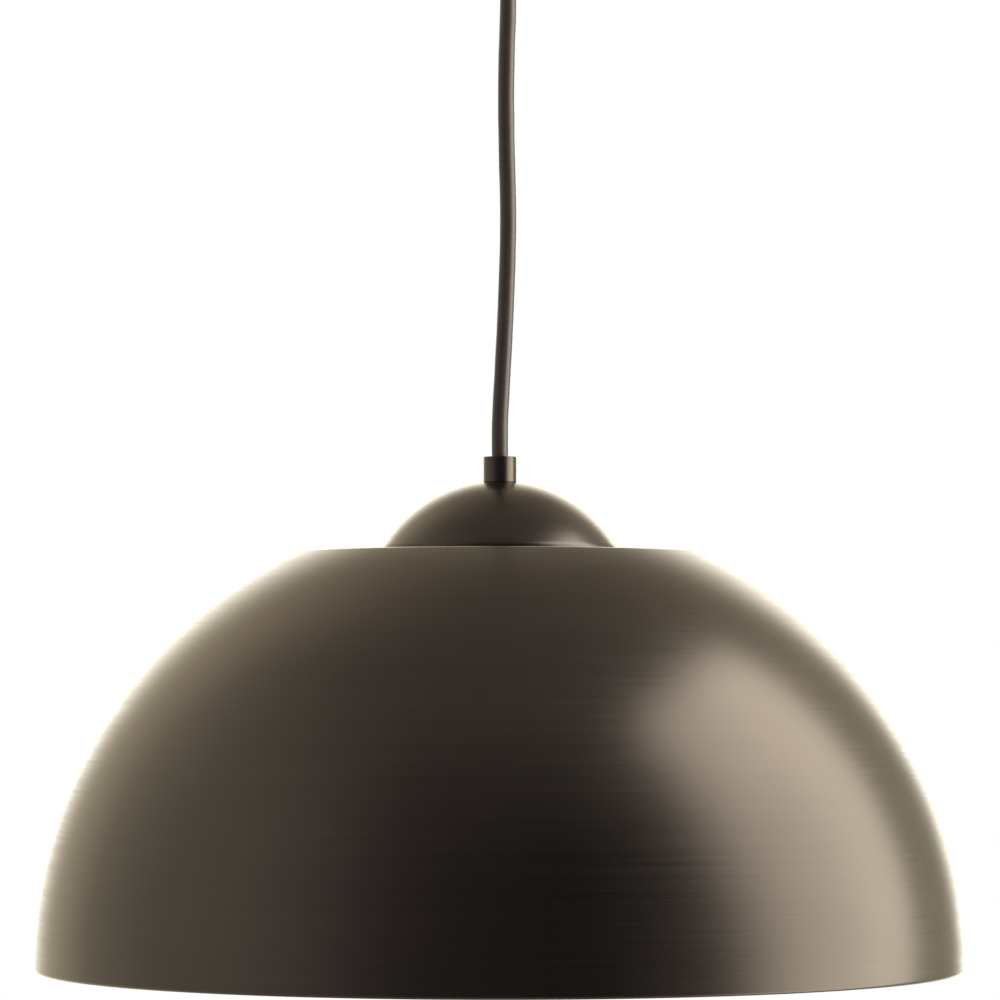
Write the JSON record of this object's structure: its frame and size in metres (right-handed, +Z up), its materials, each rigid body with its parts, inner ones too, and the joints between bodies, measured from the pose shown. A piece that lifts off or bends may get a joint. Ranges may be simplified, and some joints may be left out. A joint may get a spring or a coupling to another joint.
{
  "type": "pendant ceiling light",
  "caption": "Pendant ceiling light: a dark bronze metal dome shade with a small domed cap hangs on a round cord from a ceiling canopy, with a screw-in bulb inside.",
  "frame": {"origin": "centre of the outlet-box strap's upper face, in the plane of the ceiling", "axes": "+Z up, out of the ceiling fitting into the outlet box; +X along the outlet-box strap, to the right as the front is seen; +Y to the back, where the grips' grub screws are"},
  "size_m": [0.4063, 0.4064, 0.5353],
  "materials": {
    "bronze": "satin",
    "zinc": "satin",
    "brass": "satin",
    "nickel": "satin",
    "ground_green": "satin",
    "cord_jacket": "satin",
    "wire_black": "satin",
    "wire_white": "satin",
    "wire_green": "satin",
    "wire_nut": "satin",
    "holder_black": "satin",
    "holder_ceramic": "satin",
    "bulb_insulator": "gloss",
    "bulb_housing": "satin",
    "bulb_diffuser": "satin",
    "led_board": "satin"
  },
  "bodies": {
    "ceiling_strap": {"box_strap": "zinc"},
    "ceiling_fitting": {"canopy_strap": "zinc", "strap_eyelet": "zinc", "canopy_studs": "zinc", "stud_nuts": "zinc", "ground_screw": "ground_green", "canopy": "bronze", "finger_nuts": "bronze", "canopy_grip": "bronze", "canopy_grip_nut": "zinc", "canopy_grip_screw": "zinc", "cord_tail": "cord_jacket", "line_tail": "wire_black", "neutral_tail": "wire_white", "ground_tail": "wire_green", "wire_nuts": "wire_nut"},
    "cord_bend": {"cord_flex": "cord_jacket"},
    "cord_hang": {"cord": "cord_jacket"},
    "lamp": {"collar": "bronze", "collar_screw": "zinc", "cord_end": "cord_jacket", "nipple": "brass", "cap": "bronze", "shade": "bronze", "lock_washer": "zinc", "shade_nut": "zinc", "socket_cap": "holder_black", "ground_lug": "zinc", "socket_nut": "zinc", "line_wire": "wire_black", "neutral_wire": "wire_white", "ground_wire": "wire_green", "socket_core": "holder_ceramic", "line_screw": "brass", "neutral_screw": "nickel", "socket_sleeve": "holder_black", "screw_shell": "brass", "socket_contact": "brass"},
    "bulb_slide": {"bulb_tip": "nickel"},
    "bulb": {"bulb_insulator": "bulb_insulator", "bulb_base": "nickel", "bulb_housing": "bulb_housing", "led_board": "led_board", "bulb_globe": "bulb_diffuser"}
  },
  "joints": [
    {"name": "canopy_swivel", "type": "hinge", "parent": "ceiling_strap", "child": "ceiling_fitting", "pos_m": [0, 0, 0], "axis": [0, 0, 1], "range_deg": [-45, 45]},
    {"name": "swing_side", "type": "hinge", "parent": "ceiling_fitting", "child": "cord_bend", "pos_m": [0, 0, -0.04], "axis": [0, -1, 0], "range_deg": [-25, 25]},
    {"name": "swing_front", "type": "hinge", "parent": "cord_bend", "child": "cord_hang", "pos_m": [0, 0, -0.04], "axis": [1, 0, 0], "range_deg": [-25, 25]},
    {"name": "cord_twist", "type": "hinge", "parent": "cord_hang", "child": "lamp", "pos_m": [0, 0, -0.31], "axis": [0, 0, 1], "range_deg": [-90, 90], "stiffness_Nm_per_rad": 0.02},
    {"name": "bulb_travel", "type": "slide", "parent": "lamp", "child": "bulb_slide", "axis": [0, 0, -1], "range_m": [0, 0.0145]},
    {"name": "bulb_turn", "type": "hinge", "parent": "bulb_slide", "child": "bulb", "pos_m": [0, 0, -0.3913], "axis": [0, 0, -1], "range_deg": [0, 1440]}
  ],
  "couplings": [
    {"joint": "bulb_turn", "follows": "bulb_travel", "rad_per_m": 1731.6}
  ]
}
